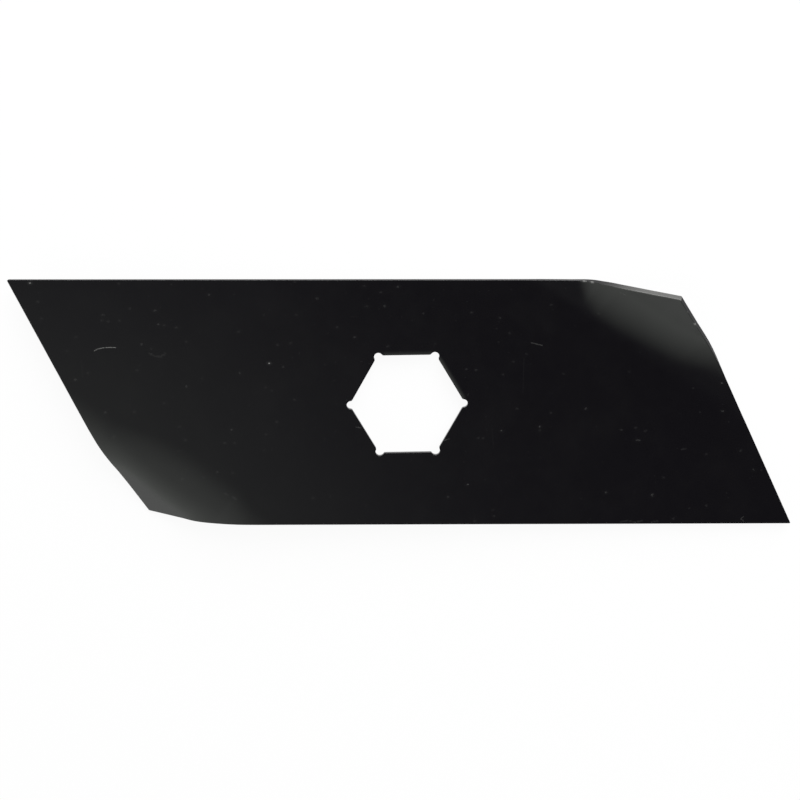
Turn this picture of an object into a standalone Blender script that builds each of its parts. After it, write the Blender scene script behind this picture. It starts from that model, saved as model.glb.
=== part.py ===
"""Scarifier blade, one piece of sheet steel.

The blank is a parallelogram cut from flat strip, with a hexagonal shaft hole at its middle. Each vertex of
the hexagon has a round relief, and the punch has drawn the hole's front rim in. The two obtuse corners are
rolled over, one up and one down, so the blade is point symmetric about the middle of the hole but for the
different strength of its two bends.

Local frame: the sheet lies in XY with its long edges along X and its front face up, and the origin is the
middle of the hole at half the thickness. The object's rotation lays the blade on a level surface: it rests
on its lowered tip and on the belly of the raised corner's bend.
"""
import math

import bmesh
import bpy
from mathutils import Vector
from mathutils.geometry import intersect_ray_tri

MM = 0.001

# Blank
SHEET_THICKNESS = 1.25 * MM
STRIP_WIDTH = 60.7 * MM
LONG_EDGE_LENGTH = 159.9 * MM
END_SLANT = math.radians(25.9)

# Shaft hole
SHAFT_ACROSS_FLATS = 24.0 * MM
SHAFT_CLEARANCE = 0.2 * MM
HOLE_TURN = math.radians(0.85)
RELIEF_RADIUS = 1.05 * MM
RELIEF_INSET = 0.4 * MM
RELIEF_SEGMENTS = 8
SHOULDER_RADIUS = 0.6 * MM
SHOULDER_SEGMENTS = 3

# Front rim of the hole, drawn in by the punch along a quarter of an ellipse
RIM_WIDTH = 0.4 * MM
RIM_DEPTH = 0.25 * MM
RIM_STEPS = 3

# Bend of the raised corner: its lines lean from the long edge by the lean, and the first lies at the reach
# from the corner
RAISED_BEND_ANGLE = math.radians(45.7)
RAISED_BEND_RADIUS = 16.1 * MM
RAISED_BEND_LEAN = math.radians(33.2)
RAISED_BEND_REACH = 19.9 * MM

# Bend of the lowered corner
LOWERED_BEND_ANGLE = math.radians(38.2)
LOWERED_BEND_RADIUS = 15.6 * MM
LOWERED_BEND_LEAN = math.radians(36.6)
LOWERED_BEND_REACH = 17.4 * MM

BEND_STEPS = 14

# Black paint
PAINT_COLOUR = (0.010, 0.010, 0.011, 1.0)
PAINT_ROUGHNESS = 0.3

SMOOTH_SHADING_LIMIT = math.radians(35)
CUT_TOLERANCE = 0.001 * MM


def clear_scene():
    for obj in list(bpy.data.objects):
        bpy.data.objects.remove(obj, do_unlink=True)


def paint():
    material = bpy.data.materials.new("black_paint")
    material.use_nodes = True
    shader = material.node_tree.nodes["Principled BSDF"]
    shader.inputs["Base Color"].default_value = PAINT_COLOUR
    shader.inputs["Roughness"].default_value = PAINT_ROUGHNESS
    shader.inputs["Metallic"].default_value = 0.0
    return material


def blank_corners():
    """Corners of the parallelogram, counter-clockwise from the acute one at the upper left."""
    half_width = STRIP_WIDTH / 2
    half_overhang = half_width * math.tan(END_SLANT)
    half_edge = LONG_EDGE_LENGTH / 2
    upper_left = Vector((-half_edge - half_overhang, half_width, 0))
    upper_right = Vector((half_edge - half_overhang, half_width, 0))
    return [upper_left, -upper_right, -upper_left, upper_right]


def along_ray(angle, distance):
    return Vector((math.cos(angle), math.sin(angle), 0)) * distance


def arc(middle, radius, start, end, segments):
    """Points on an arc, with both of its ends."""
    turns = [start + (end - start) * step / segments for step in range(segments + 1)]
    return [middle + along_ray(turn, radius) for turn in turns]


def hole_outline(growth, height):
    """The hexagon's outline, moved out by the growth, as a counter-clockwise ring at the height.

    Each vertex is a relief arc between two shoulders that round it into the flats. Growth keeps the middle
    of every arc.
    """
    half_side_turn = math.radians(30)
    vertex_distance = (SHAFT_ACROSS_FLATS + SHAFT_CLEARANCE) / math.sqrt(3)
    relief_distance = vertex_distance - RELIEF_INSET
    depth_behind_flat = RELIEF_INSET * math.cos(half_side_turn) + SHOULDER_RADIUS
    reach = RELIEF_RADIUS + SHOULDER_RADIUS
    half_arc = half_side_turn + math.acos(depth_behind_flat / reach)
    points = []
    for side in range(6):
        ray = HOLE_TURN + 2 * half_side_turn * side
        relief = along_ray(ray, relief_distance)
        for way in (-1, 1):
            turn = ray + way * half_arc
            shoulder = relief + along_ray(turn, reach)
            flat_end = ray + way * half_side_turn + math.pi
            relief_end = turn + math.pi
            sweep = arc(shoulder, SHOULDER_RADIUS - growth, relief_end, flat_end, SHOULDER_SEGMENTS)
            if way < 0:
                points += sweep[:0:-1]
                points += arc(relief, RELIEF_RADIUS + growth, turn, ray + half_arc, RELIEF_SEGMENTS)
            else:
                points += sweep[1:]
    return [point + Vector((0, 0, height)) for point in points]


def loft(name, rings):
    """A closed solid through rings of equal length, lowest ring first, as an object in the scene."""
    bm = bmesh.new()
    loops = [[bm.verts.new(point) for point in ring] for ring in rings]
    for below, above in zip(loops, loops[1:]):
        for index in range(len(below)):
            bm.faces.new((below[index - 1], below[index], above[index], above[index - 1]))
    bm.faces.new(loops[0][::-1])
    bm.faces.new(loops[-1])
    mesh = bpy.data.meshes.new(name)
    bm.to_mesh(mesh)
    bm.free()
    obj = bpy.data.objects.new(name, mesh)
    bpy.context.scene.collection.objects.link(obj)
    return obj


def sheet():
    """The uncut blank."""
    half = Vector((0, 0, SHEET_THICKNESS / 2))
    corners = blank_corners()
    return loft("sheet", [[corner - half for corner in corners], [corner + half for corner in corners]])


def punch():
    """The tool that leaves the hole, straight below and flared to the rim's width at the front face."""
    front = SHEET_THICKNESS / 2
    rings = [hole_outline(0, -SHEET_THICKNESS)]
    for step in range(RIM_STEPS + 1):
        turn = math.radians(90) * step / RIM_STEPS
        growth = RIM_WIDTH * (1 - math.cos(turn))
        rings.append(hole_outline(growth, front - RIM_DEPTH * (1 - math.sin(turn))))
    rings.append(hole_outline(RIM_WIDTH, SHEET_THICKNESS))
    return loft("punch", rings)


def punched_blank():
    """Mesh of the flat sheet with its shaft hole."""
    blank = sheet()
    tool = punch()
    cut = blank.modifiers.new("shaft_hole", "BOOLEAN")
    cut.operation = "DIFFERENCE"
    cut.solver = "EXACT"
    cut.object = tool
    bm = bmesh.new()
    bm.from_object(blank, bpy.context.evaluated_depsgraph_get())
    for obj in (blank, tool):
        bpy.data.objects.remove(obj, do_unlink=True)
    return bm


def bend_corner(bm, corner, sense, angle, radius, lean, reach):
    """Roll one corner round a cylinder that touches the sheet along the bend's first line.

    The sense is 1 for a corner that goes up and -1 for one that goes down.
    """
    outward = Vector((math.sin(lean), math.cos(lean), 0))
    outward *= math.copysign(1, corner.dot(outward))
    first_line = corner - outward * reach
    arc_length = radius * angle
    for step in range(BEND_STEPS + 1):
        line = first_line + outward * (arc_length * step / BEND_STEPS)
        everything = bm.verts[:] + bm.edges[:] + bm.faces[:]
        bmesh.ops.bisect_plane(bm, geom=everything, dist=CUT_TOLERANCE, plane_co=line, plane_no=outward)
    for vert in bm.verts:
        past = (vert.co - first_line).dot(outward)
        if past > 0:
            turned = min(past / radius, angle)
            straight = past - turned * radius
            height = vert.co.z * sense
            along = (radius - height) * math.sin(turned) + straight * math.cos(turned)
            rise = radius - (radius - height) * math.cos(turned) + straight * math.sin(turned)
            vert.co += outward * (along - past)
            vert.co.z = rise * sense


def centre_of_mass(bm):
    """Volume centroid of the closed mesh, from tetrahedra that share the origin."""
    volume = 0.0
    moment = Vector((0, 0, 0))
    for loop_a, loop_b, loop_c in bm.calc_loop_triangles():
        a, b, c = loop_a.vert.co, loop_b.vert.co, loop_c.vert.co
        wedge = a.dot(b.cross(c))
        volume += wedge
        moment += (a + b + c) * (wedge / 4)
    return moment / volume


def resting_rotation(bm):
    """Rotation that lays the blade on the face of its convex hull below its centre of mass."""
    centre = centre_of_mass(bm)
    hull = bm.copy()
    wrapped = bmesh.ops.convex_hull(hull, input=hull.verts[:])
    hull_faces = [item for item in wrapped["geom"] if isinstance(item, bmesh.types.BMFace)]
    bmesh.ops.recalc_face_normals(hull, faces=hull_faces)
    beneath = []
    for face in hull_faces:
        corners = [vert.co for vert in face.verts[:3]]
        if face.normal.z < 0 and intersect_ray_tri(*corners, face.normal, centre, True):
            beneath.append(face.normal.copy())
    hull.free()
    underside = min(beneath, key=lambda normal: normal.z)
    return underside.rotation_difference(Vector((0, 0, -1)))


def make_blade():
    bm = punched_blank()
    corners = blank_corners()
    raised_corner = corners[3]
    lowered_corner = corners[1]
    bend_corner(bm, raised_corner, 1, RAISED_BEND_ANGLE, RAISED_BEND_RADIUS,
                RAISED_BEND_LEAN, RAISED_BEND_REACH)
    bend_corner(bm, lowered_corner, -1, LOWERED_BEND_ANGLE, LOWERED_BEND_RADIUS,
                LOWERED_BEND_LEAN, LOWERED_BEND_REACH)
    rotation = resting_rotation(bm)
    mesh = bpy.data.meshes.new("blade")
    bm.to_mesh(mesh)
    bm.free()
    mesh.shade_smooth()
    mesh.set_sharp_from_angle(angle=SMOOTH_SHADING_LIMIT)
    mesh.materials.append(paint())
    blade = bpy.data.objects.new("blade", mesh)
    blade.rotation_mode = "QUATERNION"
    blade.rotation_quaternion = rotation
    bpy.context.scene.collection.objects.link(blade)


clear_scene()
make_blade()
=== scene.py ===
"""Looks of the scarifier blade: its fine surface, its black paint, a white floor, soft light and the camera.

The blade is built again as one closed grid: rings that run round the shaft hole, from its front rim out
across the front face, over the outer edge, back under the rear face and up the hole's wall. All of it is laid
out on the flat sheet at the solid's dimensions, then rolled at two corners and laid down as the solid lies.
The finer course of both bends, the slightly smaller turn of the raised one and the uneven front rim are the
scene's own.
"""
import math

import bpy
import numpy as np
from mathutils import Euler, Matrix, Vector


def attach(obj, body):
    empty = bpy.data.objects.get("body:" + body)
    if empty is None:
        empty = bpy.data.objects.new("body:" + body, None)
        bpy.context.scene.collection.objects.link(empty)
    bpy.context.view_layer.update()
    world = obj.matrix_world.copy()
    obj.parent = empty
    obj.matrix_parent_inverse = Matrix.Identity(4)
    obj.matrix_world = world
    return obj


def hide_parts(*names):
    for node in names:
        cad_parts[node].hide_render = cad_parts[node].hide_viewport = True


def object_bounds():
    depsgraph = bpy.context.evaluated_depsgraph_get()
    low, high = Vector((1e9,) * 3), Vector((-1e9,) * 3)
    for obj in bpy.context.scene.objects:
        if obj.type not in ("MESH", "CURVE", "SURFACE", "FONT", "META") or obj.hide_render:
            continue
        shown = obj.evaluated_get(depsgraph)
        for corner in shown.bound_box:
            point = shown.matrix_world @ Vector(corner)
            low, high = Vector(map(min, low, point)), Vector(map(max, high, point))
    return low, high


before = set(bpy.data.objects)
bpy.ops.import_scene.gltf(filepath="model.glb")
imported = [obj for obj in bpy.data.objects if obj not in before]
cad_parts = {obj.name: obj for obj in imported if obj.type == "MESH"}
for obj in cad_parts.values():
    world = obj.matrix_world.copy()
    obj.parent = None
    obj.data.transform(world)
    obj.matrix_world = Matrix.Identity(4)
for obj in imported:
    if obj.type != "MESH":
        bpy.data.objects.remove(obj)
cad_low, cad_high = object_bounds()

MM = 0.001

# Sheet and outline, in millimetres as on the solid. The two roundings are the scene's own
SHEET_THICKNESS = 1.25
STRIP_WIDTH = 60.7
LONG_EDGE_LENGTH = 159.9
END_SLANT = math.radians(25.9)
CORNER_ROUNDING = 0.2
EDGE_ROUNDING = 0.09

# Shaft hole
ACROSS_FLATS = 24.2
HOLE_TURN = math.radians(0.85)
RELIEF_RADIUS = 1.05
RELIEF_INSET = 0.4
SHOULDER_RADIUS = 0.6
SHOULDER_LEFT = 0.05
HALF_SIDE_TURN = math.radians(30)

# The punch draws the front rim of the hole's flats in, most on one side of the hole, and lets go of it
# towards the reliefs
DRAWN_TOWARDS = math.radians(70)
DRAWN_RIM_WIDTH = 1.0
DRAWN_RIM_DEPTH = 0.3
DRAWN_RIM_POWER = 2.0
DRAWN_RIM_FADES = (5.2, 6.8)
RIM_TOLERANCE = 0.01

# Grid: columns round the hole
HALF_FLAT_COLUMNS = 42
SHOULDER_COLUMNS = 5
RELIEF_COLUMNS = 26
HALF_END_COLUMNS = 51
LONG_EDGE_COLUMNS = 246
CORNER_COLUMNS = 6

# Grid: rings across the sheet, by how far they lie out of the hole or in from the outer edge. The round ring
# is between the two, and each pair counts the rings inside and outside it
HOLE_GROWTHS = (0, 0.03, 0.08, 0.16, 0.27, 0.4, 0.54)
BACK_HOLE_GROWTHS = (0.3, 0.1, 0.03)
HOLE_WALL_RISES = (0.03, 0.15, 0.4, 0.7)
OUTER_INSETS = (1.2, 0.6, 0.3)
OUTER_WALL_HEIGHTS = (0.35, 0.15, -0.1, -0.35)
EDGE_TURNS = (0, 22.5, 45, 67.5, 90)
ROUND_RING_RADIUS = 17.0
FRONT_RINGS = (11, 50)
BACK_RINGS = (5, 28)
RING_CROWDING = 1.2

# Bends of the raised and the lowered corner, in millimetres and degrees. The sense, the lean and the reach
# are the solid's, and so is the lowered corner's turn. A slight lead comes before the main turn, whose start
# and stop change along the bend's first line. Each pair is a place along that line and a distance past it
RAISED_BEND = {
    "sense": 1, "turn": 44.0, "lean": 33.2, "reach": 19.9,
    "lead_turn": 4.5, "lead_middle": ((-20, 0.3), (20, 0.3)), "lead_width": 3.2,
    "main_start": ((-20, 5.6), (-18.7, 4.4), (-16, 2.0), (-12, 0.7), (-6, 0.6), (0, 1.0), (8, 1.6), (12, 2.1),
                   (16, 3.2), (20, 4.6)),
    "main_stop": ((-20, 14), (-16, 13.0), (-12, 12.8), (-6, 12.8), (2, 12.6), (8, 13.0), (12, 13.8),
                  (20, 16.2)),
}
LOWERED_BEND = {
    "sense": -1, "turn": 38.2, "lean": 36.6, "reach": 17.4,
    "lead_turn": 9.1, "lead_middle": ((-20, 1.5), (-14, -0.7), (0, -0.9), (8, 0.0), (12, 1.0), (20, 3.4)),
    "lead_width": 8.0,
    "main_start": ((-20, 2.4), (-16, 2.6), (-12, 3.0), (-8, 3.3), (-4, 3.7), (4, 3.8), (12, 3.6), (16, 3.0),
                   (20, 3.0)),
    "main_stop": ((-20, 15), (-16, 14.5), (-12, 12.8), (-8, 11.0), (-4, 10.5), (0, 10.4), (8, 9.4), (12, 9.3),
                  (16, 10.6), (20, 12.0)),
}
TURN_SOFTNESS = 0.5
PAST_STATIONS = np.linspace(-6, 40, 921)
BESIDE_STATIONS = np.linspace(-40, 40, 161)
LAST_CELL_MARGIN = 1.001

# Paint. A noise is given as its scale to the millimetre and its detail
BLACK_LOW = (0.0012, 0.0009, 0.0018, 1)
BLACK_HIGH = (0.0019, 0.0017, 0.0021, 1)
DUST_COLOUR = (0.30, 0.30, 0.29, 1)
BARE_AND_HIGHLIGHT_COLOUR = (0.40, 0.40, 0.385, 1)
PAINT_IOR = 1.54
PAINT_ROUGHNESS = 0.22
ROUGHNESS_SPREAD = 0.05
DULL_ROUGHNESS = 0.6
FACE_SHINE = 0.5
WALL_SHINE = 0.36
WALL_FADES = (0.0, 0.05)
CLOUD_NOISE = (0.035, 3.0)
MOTTLE_NOISE = (0.35, 4.0)
PEEL_NOISE = (0.9, 2.0)
PEEL_HEIGHT = 0.0012
MARK_RELIEF = 3.0
SHEAR_NOISE = (2.5, 3.0)
SHEAR_RELIEF = 2.0

# Marks on the front face, by their places on the flat sheet. The strength is a share of the dust's colour
SCRATCH = {
    "width": 0.2, "strength": 0.4,
    "ends": [((-74.7, 13.3), (-73.9, 13.75)), ((-73.9, 13.75), (-72.4, 14.05)),
             ((-72.1, 14.1), (-69.6, 14.1))],
}
SHORT_STROKES = {
    "width": 0.22, "strength": 0.1,
    "ends": [((8.7, -9.1), (10.2, -8.6)), ((-12.4, -5.6), (-11.2, -5.8)), ((29.7, 15.1), (30.4, 15.0)),
             ((30.5, 14.9), (32.3, 14.5)), ((50.7, 28.8), (52.1, 28.3)), ((82.3, -29.1), (82.9, -28.6)),
             ((82.3, -29.2), (83.0, -29.7))],
}
SMEARS = {
    "width": 0.4, "strength": 0.035,
    "ends": [((-61.6, 12.7), (-60.4, 12.0)), ((-60.4, 12.0), (-59.0, 11.8)), ((-59.0, 11.8), (-57.8, 12.7)),
             ((-44.5, -22.3), (-43.7, -22.6)), ((-42.5, -23.2), (-41.8, -23.7)),
             ((52.6, -29.8), (54.3, -29.5)), ((55.0, -29.6), (56.0, -29.9)), ((56.8, -29.8), (58.0, -29.5)),
             ((60.5, -29.8), (61.7, -29.7)), ((67.0, -11.3), (68.0, -11.3))],
}
HAIRLINES = {
    "width": 0.16, "strength": 0.014,
    "ends": [((-13.6, 21.5), (-11.8, 21.5)), ((-78.0, 11.1), (-77.7, 6.7)), ((28.0, 11.7), (27.9, 2.8)),
             ((20.6, -6.1), (21.0, -11.1))],
}
BRIGHT_GRAINS = {
    "width": 0.36, "strength": 0.55,
    "middles": [(-89.2, 29.65), (-33.1, 10.2)],
}
CLEAR_GRAINS = {
    "width": 0.44, "strength": 0.13,
    "middles": [(32.1, -5.6), (22.9, -6.6), (75.9, 5.3), (76.4, -1.8), (60.1, -23.2), (60.2, -22.8),
                (14.8, -20.2)],
}
MIDDLING_GRAINS = {
    "width": 0.54, "strength": 0.068,
    "middles": [(-72.4, 22.0), (-60.0, 23.0), (-59.3, 19.7), (-47.1, 26.8), (-63.4, 14.9), (-40.2, 7.8),
                (-53.0, 4.5), (-79.6, 6.2), (-42.4, -6.2), (-72.7, -1.9), (-21.5, 25.9), (-12.6, 16.5),
                (-2.4, 28.7), (-5.5, 24.1), (43.2, -1.1), (55.9, -9.0), (56.5, -9.1), (84.8, -16.6),
                (48.8, -22.3)],
}
FAINT_GRAINS = {
    "width": 0.6, "strength": 0.035,
    "middles": [(-68.3, 29.5), (-87.6, 25.2), (-86.9, 21.1), (-72.6, 20.6), (-71.1, 20.4), (-68.5, 20.6),
                (-65.9, 23.5), (-57.9, 19.4), (-55.0, 18.9), (-79.0, 16.6), (-64.7, 8.5), (-61.2, 13.8),
                (-49.3, 6.4), (-40.2, 17.9), (-34.0, 4.2), (-32.6, 3.5), (-29.7, 9.3), (-31.0, 14.8),
                (-27.9, 15.1), (-81.2, 13.2), (-76.5, 7.9), (-65.8, -1.7), (-58.5, 0.4), (-54.9, -5.4),
                (-44.2, -9.5), (-31.5, -4.3), (-34.2, -7.4), (-53.7, -8.7), (-54.6, -18.7), (-46.2, -16.8),
                (-42.4, -17.1), (-16.8, 19.0), (-9.7, 24.0), (-10.3, 28.9), (-6.4, 27.4), (3.7, 22.3),
                (-4.7, 14.3), (22.0, 21.2), (24.5, 17.4), (28.5, 12.4), (25.5, 10.5), (23.0, 7.3),
                (14.1, 8.7), (16.5, 8.5), (26.5, -1.1), (34.8, -2.2), (32.2, -6.6), (17.2, -8.4),
                (18.4, -8.4), (52.0, -6.4), (55.5, -5.9), (57.9, -6.7), (73.0, -12.6), (81.4, -11.7),
                (62.7, -18.5), (73.6, -25.7), (65.6, -29.0), (21.1, -26.7), (21.4, -28.2), (16.7, -29.5),
                (-23.0, -23.5), (10.1, -23.3), (-27.1, 1.2), (45.6, 22.3), (-70.8, -7.9), (-52.8, 15.5),
                (15.3, 22.5), (34.2, 24.3)],
}

# Where the masks of marks fade out, as shares of their width, and the grains' width to their length
STROKE_FADES = (0.25, 0.75)
GRAIN_FADES = (0.15, 0.6)
GRAIN_SMUDGE_FADES = (0.4, 2.0)
GRAIN_SMUDGE = 0.05
GRAIN_FLATNESS = 0.7
FAR_OFF = 1000.0

# Unevenness of the marks: how far their outlines wander, and how their strength comes and goes
WOBBLE = 0.85
WOBBLE_NOISE = (2.6, 2.0)
BROKEN_NOISE = (3.0, 3.0)
BROKEN_RAMP = (0.36, 0.56, 0.3, 1.0)

# Loose dust on both faces. Each kind has the spacing of its cells and the share of the cells that hold a
# grain or a fibre. A grain has a least radius and more by its size, as shares of the width, and the larger
# it is the fainter. The front's cells are shifted, so that the two faces differ
FINE_DUST = {"spacing": 2.6, "width": 0.30, "share": 0.18, "strength": 0.04}
COARSE_DUST = {"spacing": 8.0, "width": 0.60, "share": 0.25, "strength": 0.035}
DUST_RADII = (0.15, 0.35)
DUST_FADE = 0.6
FIBRES = [
    {"turn": math.radians(25), "spacing": 9.0, "length": 2.0, "width": 0.16, "share": 0.12},
    {"turn": math.radians(-62), "spacing": 11.0, "length": 1.7, "width": 0.14, "share": 0.12},
]
FIBRE_STRENGTH = 0.03
FIBRE_SCALE = 0.5
FIBRE_RADIUS = 0.25
DUST_STARTS = (0.05, 0.25)
HAZE_NOISE = (0.07, 6.0)
HAZE_RAMP = (0.45, 0.75, 0.0, 0.003)
FRONT_SHIFT = 371.0

# Wear and a painted highlight. Along the raised corner's long edge the metal starts to show at one place
# along the sheet and shows fully at another, and along that edge's front corner more of the metal colour is
# laid on as a painted highlight.
# The chips in the paint of the edges lie by their places on the flat sheet
WORN_STRETCH = (43.0, 58.0)
WORN_REACH = 0.36
# Share of the metal colour on the wall, which is wear, and the extra share along the front corner, which is a
# painted highlight
WORN_WALL = 0.21
CORNER_HIGHLIGHT = 0.165
FRONT_CORNER = (0.40, 0.56)
EDGE_CHIPS = {
    "width": 0.8, "strength": 0.36,
    "middles": [(42.0, 30.3), (43.9, 30.3), (68.8, 22.8), (-71.0, -18.3), (-70.1, -20.2), (-69.2, -22.1),
                (-68.2, -23.9), (-67.3, -25.9), (-66.4, -27.8)],
}
EDGE_CHIP_FADES = (0.25, 0.5)
SCUFF_NOISE = (0.8, 4.0)
SCUFF_RAMP = (0.6, 0.7, 0.0, 0.12)
RUB_NOISE = (1.3, 5.0)
RUB_RAMP = (0.3, 0.6, 0.9, 1.0)
EDGE_GRAIN = (0.2, 1.0, 1.6)

# Camera
LENS = 73.19
SENSOR = 36.0
NEAREST_SEEN = 0.01
FARTHEST_SEEN = 20.0
CAMERA_PLACE = Vector((6.753, 115.538, 375.611)) * MM
CAMERA_TURN = Euler((math.radians(-16.958), math.radians(1.334), math.radians(0.127)), "XYZ")

# World, by heading. A bright panel stands at the left front and fades towards the back. Overhead it is dim,
# and dimmest just in front of the zenith. Low down it is white all round
PANEL_SIDE = (-0.92, -0.39, 0.0)
PANEL_RAMP = (0.025, 0.95)
PANEL_EASE = 0.38
PANEL_LEVEL = 0.93
PANEL_REAR_FADES = (-0.24, 0.02)
PANEL_TINT = (0.955, 1.0, 0.945, 1)
OVERHEAD_RAMP = (-0.24, -0.12, 0.08, 0.05)
OVERHEAD_TINT = (0.97, 0.9, 1.1, 1)
BACK_RAMP = (-0.12, 0.3, 0.0, 0.05)
LOW_RAMP = (0.1, 0.4, 0.9, 0.0)
TINT_RAMP = (0.09, 0.3)

# Floor and lamp
FLOOR_COLOUR = (0.9, 0.9, 0.9, 1)
FLOOR_SIZE = 4.0
FLOOR_GLOW = 0.94
LAMP_POWER = 30.0
LAMP_SIZE = 1.2
LAMP_PLACE = Vector((0.35, 1.0, 0.75))


def direction(angle):
    return np.array((math.cos(angle), math.sin(angle)))


def straight(start, end, count):
    """Points from the start towards the end, without the end."""
    shares = np.arange(count)[:, None] / count
    return start + (end - start) * shares


def arc(middle, radius, start, end, count):
    """Points on an arc, without its end."""
    turns = start + (end - start) * np.arange(count) / count
    return middle + radius * np.stack((np.cos(turns), np.sin(turns)), axis=1)


def hole_ring(growth):
    """The hole's outline moved out by the growth, counter-clockwise from the relief at the right."""
    relief_distance = ACROSS_FLATS / math.sqrt(3) - RELIEF_INSET
    depth_behind_flat = RELIEF_INSET * math.cos(HALF_SIDE_TURN) + SHOULDER_RADIUS
    reach = RELIEF_RADIUS + SHOULDER_RADIUS
    half_arc = HALF_SIDE_TURN + math.acos(depth_behind_flat / reach)
    shoulder_radius = max(SHOULDER_RADIUS - growth, SHOULDER_LEFT)
    pieces = []
    for side in range(6):
        ray = HOLE_TURN + 2 * HALF_SIDE_TURN * side
        relief = direction(ray) * relief_distance
        before, after = [
            {
                "shoulder": relief + direction(ray + way * half_arc) * reach,
                "flat_middle": direction(ray + way * HALF_SIDE_TURN) * (ACROSS_FLATS / 2 + growth),
                "flat_end": ray + way * HALF_SIDE_TURN + math.pi,
                "relief_end": ray + way * half_arc + math.pi,
            }
            for way in (-1, 1)
        ]
        flat_start = before["shoulder"] + direction(before["flat_end"]) * shoulder_radius
        flat_stop = after["shoulder"] + direction(after["flat_end"]) * shoulder_radius
        pieces += [
            straight(before["flat_middle"], flat_start, HALF_FLAT_COLUMNS),
            arc(before["shoulder"], shoulder_radius, before["flat_end"], before["relief_end"],
                SHOULDER_COLUMNS),
            arc(relief, RELIEF_RADIUS + growth, ray - half_arc, ray + half_arc, RELIEF_COLUMNS),
            arc(after["shoulder"], shoulder_radius, after["relief_end"], after["flat_end"],
                SHOULDER_COLUMNS),
            straight(flat_stop, after["flat_middle"], HALF_FLAT_COLUMNS),
        ]
    ring = np.concatenate(pieces)
    half_sector = HALF_FLAT_COLUMNS + SHOULDER_COLUMNS + RELIEF_COLUMNS // 2
    return np.roll(ring, -half_sector, axis=0)


def blank_corner():
    """The obtuse corner at the upper right of the blank."""
    half_width = STRIP_WIDTH / 2
    return np.array((LONG_EDGE_LENGTH / 2 - half_width * math.tan(END_SLANT), half_width))


def blank_ring(inset):
    """The blank's outline moved in by the inset, counter-clockwise from the middle of its right end."""
    half_width = STRIP_WIDTH / 2 - inset
    overhang = half_width * math.tan(END_SLANT)
    half_edge = LONG_EDGE_LENGTH / 2 - inset / math.cos(END_SLANT)
    upper_right = np.array((half_edge - overhang, half_width))
    upper_left = np.array((-half_edge - overhang, half_width))
    rounding = CORNER_ROUNDING + inset / 2
    end_up = math.pi / 2 + END_SLANT
    stretches = []
    corners = [(upper_right, end_up, math.pi), (upper_left, math.pi, math.pi + end_up)]
    for corner, heading_in, heading_out in corners:
        turn = heading_out - heading_in
        cut_back = rounding * math.tan(turn / 2)
        start = corner - direction(heading_in) * cut_back
        middle = start + direction(heading_in + math.pi / 2) * rounding
        stretches.append((start, corner + direction(heading_out) * cut_back,
                          arc(middle, rounding, heading_in - math.pi / 2, heading_out - math.pi / 2,
                              CORNER_COLUMNS)))
    (right_start, right_stop, right_arc), (left_start, left_stop, left_arc) = stretches
    right_middle = np.array((half_edge, 0.0))
    half = np.concatenate([
        straight(right_middle, right_start, HALF_END_COLUMNS),
        right_arc,
        straight(right_stop, left_start, LONG_EDGE_COLUMNS),
        left_arc,
        straight(left_stop, -right_middle, HALF_END_COLUMNS),
    ])
    return np.concatenate([half, -half])


def round_ring():
    """A circle round the hole with its columns evenly spread, which keeps the grid from folding."""
    count = len(blank_ring(0))
    turns = HOLE_TURN + 2 * math.pi * np.arange(count) / count
    return ROUND_RING_RADIUS * np.stack((np.cos(turns), np.sin(turns)), axis=1)


def across(inner, outer, counts):
    """Rings from an inner one by way of the round one to an outer one, without the inner and outer ones."""
    near_count, far_count = counts
    middle = round_ring()
    near = [inner + (middle - inner) * step / (near_count + 1) for step in range(1, near_count + 1)]
    shares = (np.arange(0, far_count + 1) / (far_count + 1)) ** RING_CROWDING
    return near + [middle + (outer - middle) * share for share in shares]


def drawn_rim(plan):
    """How far the punch has drawn the front face down at each point of a ring."""
    depth = np.zeros(len(plan))
    for side in range(6):
        outward = direction(HOLE_TURN + HALF_SIDE_TURN * (2 * side + 1))
        deepest = DRAWN_RIM_DEPTH * max(outward @ direction(DRAWN_TOWARDS), 0) ** 2
        gap = plan @ outward - ACROSS_FLATS / 2
        beside = np.abs(plan @ np.array((outward[1], -outward[0])))
        nearness = np.clip(1 - np.clip(gap, 0, None) / DRAWN_RIM_WIDTH, 0, 1) ** DRAWN_RIM_POWER
        faded = soft_share(beside, *DRAWN_RIM_FADES)
        depth = np.maximum(depth, np.where(gap > -RIM_TOLERANCE, deepest * nearness * (1 - faded), 0))
    return depth


def rounded_edge(side):
    """Insets and heights round an outer edge, from the face to the wall."""
    turns = np.radians(EDGE_TURNS)
    insets = EDGE_ROUNDING * (1 - np.sin(turns))
    heights = side * (SHEET_THICKNESS / 2 - EDGE_ROUNDING * (1 - np.cos(turns)))
    return list(zip(insets, heights))


def sheet_rings():
    """Every ring of the closed grid on the flat sheet, as an array of rings, columns and coordinates."""
    top = SHEET_THICKNESS / 2
    rings = []

    def add(plan, height):
        heights = np.broadcast_to(height, len(plan))
        rings.append(np.column_stack((plan, heights)))

    for growth in HOLE_GROWTHS:
        plan = hole_ring(growth)
        add(plan, top - drawn_rim(plan))
    for plan in across(hole_ring(HOLE_GROWTHS[-1]), blank_ring(OUTER_INSETS[0]), FRONT_RINGS):
        add(plan, top - drawn_rim(plan))
    for inset in OUTER_INSETS:
        add(blank_ring(inset), top)
    for inset, height in rounded_edge(1):
        add(blank_ring(inset), height)
    for height in OUTER_WALL_HEIGHTS:
        add(blank_ring(0), height)
    for inset, height in rounded_edge(-1)[::-1]:
        add(blank_ring(inset), height)
    for inset in OUTER_INSETS[::-1]:
        add(blank_ring(inset), -top)
    for plan in across(hole_ring(HOLE_GROWTHS[-1]), blank_ring(OUTER_INSETS[0]), BACK_RINGS)[::-1]:
        add(plan, -top)
    for growth in BACK_HOLE_GROWTHS:
        add(hole_ring(growth), -top)
    for rise in HOLE_WALL_RISES:
        add(hole_ring(0), rise - top)
    return np.array(rings)


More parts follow.
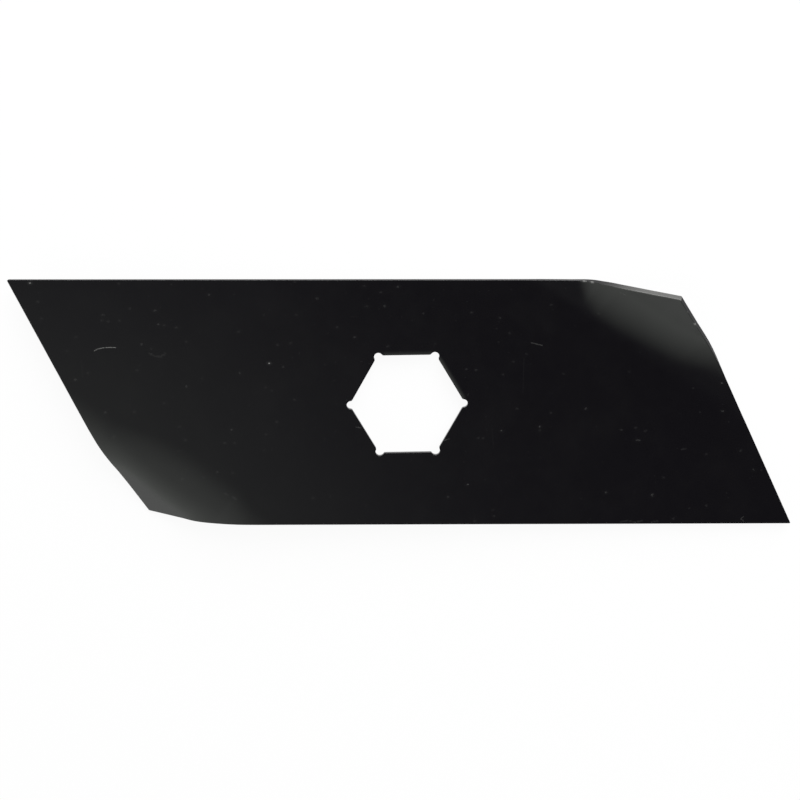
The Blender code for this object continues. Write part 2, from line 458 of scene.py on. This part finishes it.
def from_edge(sheet):
    """How far each point of the flat sheet lies from the blank's outline."""
    x, y = sheet[..., 0], sheet[..., 1]
    from_long_edge = STRIP_WIDTH / 2 - np.abs(y)
    from_end = (LONG_EDGE_LENGTH / 2 - np.abs(x + y * math.tan(END_SLANT))) * math.cos(END_SLANT)
    return np.minimum(from_long_edge, from_end)


def soft_share(value, start, stop):
    """The value's share of the way from start to stop, eased at both ends."""
    share = np.clip((value - start) / (stop - start), 0, 1)
    eased = share * share * (3 - 2 * share)
    return share + TURN_SOFTNESS * (eased - share)


def turn_table(bend_shape):
    """The sheet's turn in radians, in a row for each station along the bend's line."""
    rows = BESIDE_STATIONS[:, None]
    columns = PAST_STATIONS[None, :]
    start, stop, middle = [np.interp(rows, *zip(*bend_shape[key]))
                           for key in ("main_start", "main_stop", "lead_middle")]
    half_width = bend_shape["lead_width"] / 2
    lead_share = soft_share(columns, middle - half_width, middle + half_width)
    main_share = soft_share(columns, start, stop)
    lead_turn = bend_shape["lead_turn"]
    return np.radians(lead_turn * lead_share + (bend_shape["turn"] - lead_turn) * main_share)


def add_up(rates):
    """Running integral of each row of a table over the stations past the first line."""
    step = PAST_STATIONS[1] - PAST_STATIONS[0]
    return (np.cumsum(rates, axis=1) - (rates + rates[:, :1]) / 2) * step


def look_up(table, beside, past):
    """Value between the table's four nearest stations."""
    row = np.interp(beside, BESIDE_STATIONS, np.arange(len(BESIDE_STATIONS)))
    row = np.clip(row, 0, table.shape[0] - LAST_CELL_MARGIN)
    column = np.interp(past, PAST_STATIONS, np.arange(len(PAST_STATIONS)))
    column = np.clip(column, 0, table.shape[1] - LAST_CELL_MARGIN)
    left, above = column.astype(int), row.astype(int)
    right_share, below_share = column - left, row - above
    upper = table[above, left] * (1 - right_share) + table[above, left + 1] * right_share
    lower = table[above + 1, left] * (1 - right_share) + table[above + 1, left + 1] * right_share
    return upper * (1 - below_share) + lower * below_share


def bend(points, corner, bend_shape):
    """Rolls one corner up or down by its table of turns."""
    sense = bend_shape["sense"]
    outward = direction(math.radians(90 - bend_shape["lean"])) * sense
    offset = points[..., :2] - corner
    past = offset @ outward + bend_shape["reach"]
    beside = offset @ np.array((outward[1], -outward[0]))
    turns = turn_table(bend_shape)
    turned = look_up(turns, beside, past)
    height = points[..., 2] * sense
    new_past = PAST_STATIONS[0] + look_up(add_up(np.cos(turns)), beside, past) - height * np.sin(turned)
    new_height = look_up(add_up(np.sin(turns)), beside, past) + height * np.cos(turned)
    moved = past > PAST_STATIONS[0]
    bent = points.copy()
    bent[..., :2] += np.where(moved, new_past - past, 0)[..., None] * outward
    bent[..., 2] = np.where(moved, new_height * sense, points[..., 2])
    return bent


def resting_rotation():
    """Rotation that lays the sheet as the solid lies, read from the solid's widest upward face."""
    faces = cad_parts["blade"].data.polygons
    upward = {}
    for face in faces:
        key = tuple(round(x, 4) for x in face.normal)
        upward[key] = upward.get(key, 0) + face.area * (face.normal.z > 0)
    normal = Vector(max(upward, key=upward.get))
    return Vector((0, 0, 1)).rotation_difference(normal)


def make_blade():
    sheet = sheet_rings()
    corner = blank_corner()
    points = bend(sheet, corner, RAISED_BEND)
    points = bend(points, -corner, LOWERED_BEND)
    ring_count, column_count = sheet.shape[:2]
    columns = np.arange(column_count)
    faces = []
    for ring in range(ring_count):
        here = ring * column_count
        there = (ring + 1) % ring_count * column_count
        following = (columns + 1) % column_count
        faces.append(np.stack((here + columns, there + columns, there + following, here + following), axis=1))
    mesh = bpy.data.meshes.new("blade_fine")
    mesh.from_pydata((points.reshape(-1, 3) * MM).tolist(), [], np.concatenate(faces).tolist())
    mesh.transform(resting_rotation().to_matrix().to_4x4())
    place = mesh.attributes.new("sheet_mm", "FLOAT_VECTOR", "POINT")
    place.data.foreach_set("vector", sheet.astype(np.float32).ravel())
    inwards = mesh.attributes.new("from_edge_mm", "FLOAT", "POINT")
    inwards.data.foreach_set("value", from_edge(sheet).astype(np.float32).ravel())
    mesh.shade_smooth()
    mesh.materials.append(paint())
    blade = bpy.data.objects.new("blade_fine", mesh)
    bpy.context.scene.collection.objects.link(blade)
    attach(blade, "root")
    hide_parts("blade")


class Shading:
    """Adds nodes to one node tree. A value given to a node is a constant or another node's output."""

    def __init__(self, tree):
        self.nodes = tree.nodes
        self.links = tree.links

    def node(self, kind, values=(), output=0, **settings):
        made = self.nodes.new("ShaderNode" + kind)
        for name, setting in settings.items():
            setattr(made, name, setting)
        for socket, value in dict(values).items():
            if isinstance(value, bpy.types.NodeSocket):
                self.links.new(value, made.inputs[socket])
            else:
                made.inputs[socket].default_value = value
        return None if output is None else made.outputs[output]

    def math(self, operation, *values, clamp=False):
        return self.node("Math", enumerate(values), operation=operation, use_clamp=clamp)

    def vector(self, operation, *values, output=0):
        return self.node("VectorMath", enumerate(values), output, operation=operation)

    def ramp(self, value, low, high, to_low=0.0, to_high=1.0):
        """The value's place between low and high, eased at both ends."""
        ends = {"From Min": low, "From Max": high, "To Min": to_low, "To Max": to_high}
        return self.node("MapRange", {"Value": value, **ends}, interpolation_type="SMOOTHSTEP")

    def noise(self, place, scale, detail=2.0, output="Fac"):
        return self.node("TexNoise", {"Vector": place, "Scale": scale, "Detail": detail}, output)

    def blend(self, share, low, high):
        """Mixes two numbers."""
        return self.node("Mix", {"Factor": share, "A": low, "B": high}, "Result")

    def tint(self, share, below, above):
        """Mixes two colours."""
        return self.node("MixRGB", {"Fac": share, "Color1": below, "Color2": above})


def gap_to_stroke(shading, place, start, end):
    """Distance from a straight stroke on the front face."""
    first = Vector((*start, SHEET_THICKNESS / 2))
    span = Vector((*end, SHEET_THICKNESS / 2)) - first
    offset = shading.vector("SUBTRACT", place, first)
    along = shading.vector("DOT_PRODUCT", offset, span / span.length_squared, output="Value")
    share = shading.math("MULTIPLY", along, 1.0, clamp=True)
    nearest = shading.vector("MULTIPLY", shading.node("CombineXYZ", {0: share, 1: share, 2: share}), span)
    return shading.vector("DISTANCE", offset, nearest, output="Value")


def strokes(shading, place, kind):
    """Mask of straight strokes on the front face, in sheet millimetres."""
    nearest = FAR_OFF
    for start, end in kind["ends"]:
        nearest = shading.math("MINIMUM", nearest, gap_to_stroke(shading, place, start, end))
    starts, stops = [share * kind["width"] for share in STROKE_FADES]
    return shading.math("MULTIPLY", shading.ramp(nearest, starts, stops, 1.0, 0.0), kind["strength"])


def grains(shading, place, kind):
    """Mask of grains on the front face, wider along the sheet than across it, each in a faint smudge."""
    flatten = (GRAIN_FLATNESS, 1.0, 1.0)
    flattened = shading.vector("MULTIPLY", place, flatten)
    nearest = FAR_OFF
    for x, y in kind["middles"]:
        middle = (x * flatten[0], y, SHEET_THICKNESS / 2)
        gap = shading.vector("DISTANCE", flattened, middle, output="Value")
        nearest = shading.math("MINIMUM", nearest, gap)
    body_starts, body_stops = [share * kind["width"] for share in GRAIN_FADES]
    smudge_starts, smudge_stops = [share * kind["width"] for share in GRAIN_SMUDGE_FADES]
    body = shading.ramp(nearest, body_starts, body_stops, 1.0, 0.0)
    smudge = shading.ramp(nearest, smudge_starts, smudge_stops, GRAIN_SMUDGE, 0.0)
    return shading.math("MULTIPLY", shading.math("MAXIMUM", body, smudge), kind["strength"])


def strongest(shading, masks):
    total = masks[0]
    for mask in masks[1:]:
        total = shading.math("MAXIMUM", total, mask)
    return total


def scattered(shading, place, scale, share):
    """Random points on a plane: the distance from the nearest, its random colour, and if it wins the draw."""
    cells = {"Vector": place, "Scale": scale, "Randomness": 1.0}
    gap = shading.node("TexVoronoi", cells, "Distance", voronoi_dimensions="2D")
    colour = shading.node("TexVoronoi", cells, "Color", voronoi_dimensions="2D")
    lot = shading.node("SeparateXYZ", {0: colour}, "X")
    return gap, colour, shading.math("LESS_THAN", lot, share)


def dust(shading, place, kind):
    """Random grains on a plane through the place. The larger ones are fainter."""
    gap, colour, wins = scattered(shading, place, 1 / kind["spacing"], kind["share"])
    size = shading.node("SeparateXYZ", {0: colour}, "Y")
    least, growth = [share * kind["width"] / kind["spacing"] for share in DUST_RADII]
    radius = shading.math("MULTIPLY_ADD", size, growth, least)
    grain = shading.math("LESS_THAN", gap, radius)
    fading = shading.math("MULTIPLY_ADD", size, -DUST_FADE, 1.0)
    mask = shading.math("MULTIPLY", shading.math("MULTIPLY", grain, wins), fading)
    return shading.math("MULTIPLY", mask, kind["strength"])


def fibres(shading, place, kind):
    """Random short strokes that lie along one direction."""
    width = kind["width"]
    turned = shading.node("Mapping", {"Vector": place, "Rotation": (0, 0, kind["turn"]),
                                      "Scale": (1 / kind["length"], 1 / width, 0)})
    gap, _, wins = scattered(shading, turned, FIBRE_SCALE * width / kind["spacing"], kind["share"])
    body = shading.math("LESS_THAN", gap, FIBRE_RADIUS * width / kind["spacing"])
    return shading.math("MULTIPLY", body, wins)


def placed_marks(shading, place, wobbly):
    """Mask of the front face's own marks, which come and go along their length."""
    broken = shading.ramp(shading.noise(place, *BROKEN_NOISE), *BROKEN_RAMP)
    placed = strongest(shading, [
        strokes(shading, place, SCRATCH),
        strokes(shading, place, SHORT_STROKES),
        strokes(shading, wobbly, SMEARS),
        strokes(shading, place, HAIRLINES),
        grains(shading, wobbly, CLEAR_GRAINS),
        grains(shading, wobbly, MIDDLING_GRAINS),
        grains(shading, wobbly, FAINT_GRAINS),
    ])
    placed = shading.math("MULTIPLY", placed, broken)
    return shading.math("MAXIMUM", placed, grains(shading, place, BRIGHT_GRAINS))


def loose_dust(shading, place, wobbly, height, from_edge):
    """Mask of the dust, fibres and haze on both faces."""
    front = shading.math("GREATER_THAN", height, 0.0)
    shift = shading.node("CombineXYZ", {0: shading.math("MULTIPLY", front, FRONT_SHIFT)})
    shifted = shading.vector("ADD", wobbly, shift)
    fine = dust(shading, shifted, FINE_DUST)
    coarse = dust(shading, shifted, COARSE_DUST)
    hairs = strongest(shading, [fibres(shading, shifted, kind) for kind in FIBRES])
    hairs = shading.math("MULTIPLY", hairs, FIBRE_STRENGTH)
    on_face = shading.ramp(from_edge, *DUST_STARTS)
    loose = shading.math("MULTIPLY", strongest(shading, [fine, coarse, hairs]), on_face)
    return shading.math("MAXIMUM", loose, shading.ramp(shading.noise(place, *HAZE_NOISE), *HAZE_RAMP))


def bare_metal_and_highlight(shading, place, wobbly, height, from_edge, wall, drawn_out):
    """Mask of the metal that shows on the rubbed long edge, in chips and in scuffs along the outer wall,
    raised along that edge's front corner as a painted highlight.
    """
    rub = shading.noise(drawn_out, *RUB_NOISE)
    front_corner = shading.ramp(height, *FRONT_CORNER)
    lengthwise = shading.node("SeparateXYZ", {0: place}, "X")
    crosswise = shading.node("SeparateXYZ", {0: place}, "Y")
    upper_edge = shading.math("GREATER_THAN", crosswise, STRIP_WIDTH / 2 - WORN_REACH)
    stretch = shading.math("MULTIPLY", shading.ramp(lengthwise, *WORN_STRETCH), upper_edge)
    # The front corner's extra share of metal colour is a painted highlight on the rounded front edge, on top
    # of the wall's wear
    share = shading.math("MULTIPLY_ADD", front_corner, CORNER_HIGHLIGHT, WORN_WALL)
    worn_and_highlight = shading.math("MULTIPLY", stretch, share)
    worn_and_highlight = shading.math("MULTIPLY", worn_and_highlight, shading.ramp(from_edge, 0.0, WORN_REACH, 1.0, 0.0))
    near_edge = shading.ramp(from_edge, *EDGE_CHIP_FADES, 1.0, 0.0)
    chipped = shading.math("MULTIPLY", grains(shading, wobbly, EDGE_CHIPS), near_edge)
    scuffed = shading.ramp(shading.noise(place, *SCUFF_NOISE), *SCUFF_RAMP)
    scuffed = shading.math("MULTIPLY", shading.math("MULTIPLY", scuffed, front_corner), wall)
    bare_and_highlight = strongest(shading, [worn_and_highlight, scuffed, chipped])
    return shading.math("MULTIPLY", bare_and_highlight, shading.ramp(rub, *RUB_RAMP))


def paint():
    """Semi-gloss black paint with dust, scratches, rubbed edges and a painted highlight along one edge's
    front corner, laid out in sheet millimetres.
    """
    material = bpy.data.materials.new("black_paint")
    material.use_nodes = True
    shading = Shading(material.node_tree)
    shader = material.node_tree.nodes["Principled BSDF"]
    shader.inputs["IOR"].default_value = PAINT_IOR
    place = shading.node("Attribute", output="Vector", attribute_name="sheet_mm")
    from_edge = shading.node("Attribute", output="Fac", attribute_name="from_edge_mm")
    height = shading.node("SeparateXYZ", {0: place}, "Z")

    black = shading.tint(shading.noise(place, *CLOUD_NOISE), BLACK_LOW, BLACK_HIGH)
    uneven = shading.noise(place, *WOBBLE_NOISE, "Color")
    uneven = shading.vector("SUBTRACT", uneven, (0.5, 0.5, 0.5))
    wobbly = shading.vector("ADD", place, shading.vector("MULTIPLY", uneven, (WOBBLE, WOBBLE, 0)))
    placed = placed_marks(shading, place, wobbly)
    marks = shading.math("MAXIMUM", placed, loose_dust(shading, place, wobbly, height, from_edge))
    marked = shading.tint(marks, black, DUST_COLOUR)

    wall = shading.ramp(from_edge, *WALL_FADES, 1.0, 0.0)
    drawn_out = shading.vector("MULTIPLY", place, EDGE_GRAIN)
    bare_and_highlight = bare_metal_and_highlight(shading, place, wobbly, height, from_edge, wall, drawn_out)
    # Metal colour for chips, scuffs and rubbed paint, and as a painted highlight along the raised corner's
    # front edge
    colour = shading.tint(bare_and_highlight, marked, BARE_AND_HIGHLIGHT_COLOUR)
    shading.links.new(colour, shader.inputs["Base Color"])

    mottle = shading.noise(place, *MOTTLE_NOISE)
    gloss = shading.math("MULTIPLY_ADD", mottle, ROUGHNESS_SPREAD, PAINT_ROUGHNESS - ROUGHNESS_SPREAD / 2)
    dull = strongest(shading, [marks, wall, bare_and_highlight])
    roughness = shading.blend(dull, gloss, DULL_ROUGHNESS)
    shading.links.new(roughness, shader.inputs["Roughness"])

    shine = shading.blend(wall, FACE_SHINE, WALL_SHINE)
    shading.links.new(shine, shader.inputs["Specular IOR Level"])

    peel = shading.noise(place, *PEEL_NOISE)
    sheared = shading.math("MULTIPLY", shading.noise(drawn_out, *SHEAR_NOISE), wall)
    relief = shading.math("MULTIPLY_ADD", sheared, SHEAR_RELIEF, peel)
    relief = shading.math("MULTIPLY_ADD", marks, MARK_RELIEF, relief)
    bumpy = {"Height": relief, "Strength": 1.0, "Distance": PEEL_HEIGHT * MM}
    bump = shading.node("Bump", bumpy, "Normal")
    shading.links.new(bump, shader.inputs["Normal"])
    return material


def make_camera():
    data = bpy.data.cameras.new("camera")
    data.lens = LENS
    data.sensor_width = SENSOR
    data.clip_start = NEAREST_SEEN
    data.clip_end = FARTHEST_SEEN
    camera = bpy.data.objects.new("camera", data)
    camera.location = CAMERA_PLACE
    camera.rotation_euler = CAMERA_TURN
    bpy.context.scene.collection.objects.link(camera)
    bpy.context.scene.camera = camera


def make_world():
    """White low down, a bright panel at the left front, and dim overhead. The camera sees plain white."""
    world = bpy.data.worlds.new("studio")
    bpy.context.scene.world = world
    world.use_nodes = True
    world.node_tree.nodes.clear()
    shading = Shading(world.node_tree)
    heading = shading.node("TexCoord", output="Generated")
    towards_panel = shading.vector("DOT_PRODUCT", heading, PANEL_SIDE, output="Value")
    backwards = shading.node("SeparateXYZ", {0: heading}, "Y")
    panel = shading.math("POWER", shading.ramp(towards_panel, *PANEL_RAMP), PANEL_EASE)
    panel = shading.math("MULTIPLY", panel, shading.ramp(backwards, *PANEL_REAR_FADES, 1.0, 0.0))
    overhead = shading.ramp(backwards, *OVERHEAD_RAMP)
    level = shading.math("MULTIPLY_ADD", panel, PANEL_LEVEL, overhead)
    level = shading.math("ADD", level, shading.ramp(backwards, *BACK_RAMP))
    rise = shading.node("SeparateXYZ", {0: heading}, "Z")
    level = shading.math("MAXIMUM", level, shading.ramp(rise, *LOW_RAMP))
    tint = shading.tint(shading.ramp(level, *TINT_RAMP), OVERHEAD_TINT, PANEL_TINT)
    surround = shading.node("Background", {"Color": tint, "Strength": level})
    backdrop = shading.node("Background", {"Color": (1, 1, 1, 1), "Strength": 1.0})
    by_camera = shading.node("LightPath", output="Is Camera Ray")
    seen = shading.node("MixShader", {0: by_camera, 1: surround, 2: backdrop})
    shading.node("OutputWorld", {"Surface": seen}, output=None)


def make_floor():
    """A white floor. It glows for the camera and in reflections, and keeps some of the blade's shadow."""
    bpy.ops.mesh.primitive_plane_add(size=FLOOR_SIZE, location=(0, 0, cad_low.z))
    floor = bpy.context.object
    floor.name = "floor"
    material = bpy.data.materials.new("white_floor")
    material.use_nodes = True
    material.node_tree.nodes.clear()
    shading = Shading(material.node_tree)
    seen = strongest(shading, [shading.node("LightPath", output="Is Camera Ray"),
                               shading.node("LightPath", output="Is Glossy Ray"),
                               shading.node("LightPath", output="Is Transmission Ray")])
    glow = shading.math("MULTIPLY", seen, FLOOR_GLOW)
    plain = shading.node("BsdfDiffuse", {"Color": FLOOR_COLOUR})
    white = shading.node("Emission", {"Color": (1, 1, 1, 1), "Strength": 1.0})
    mixed = shading.node("MixShader", {0: glow, 1: plain, 2: white})
    shading.node("OutputMaterial", {"Surface": mixed}, output=None)
    floor.data.materials.append(material)


def make_lamp():
    data = bpy.data.lights.new("soft_lamp", "AREA")
    data.shape = "DISK"
    data.size = LAMP_SIZE
    data.energy = LAMP_POWER
    lamp = bpy.data.objects.new("soft_lamp", data)
    lamp.location = LAMP_PLACE
    lamp.rotation_euler = (-LAMP_PLACE).to_track_quat("-Z", "Y").to_euler()
    bpy.context.scene.collection.objects.link(lamp)


make_blade()
make_camera()
make_world()
make_floor()
make_lamp()
bpy.context.scene.view_settings.view_transform = "Standard"
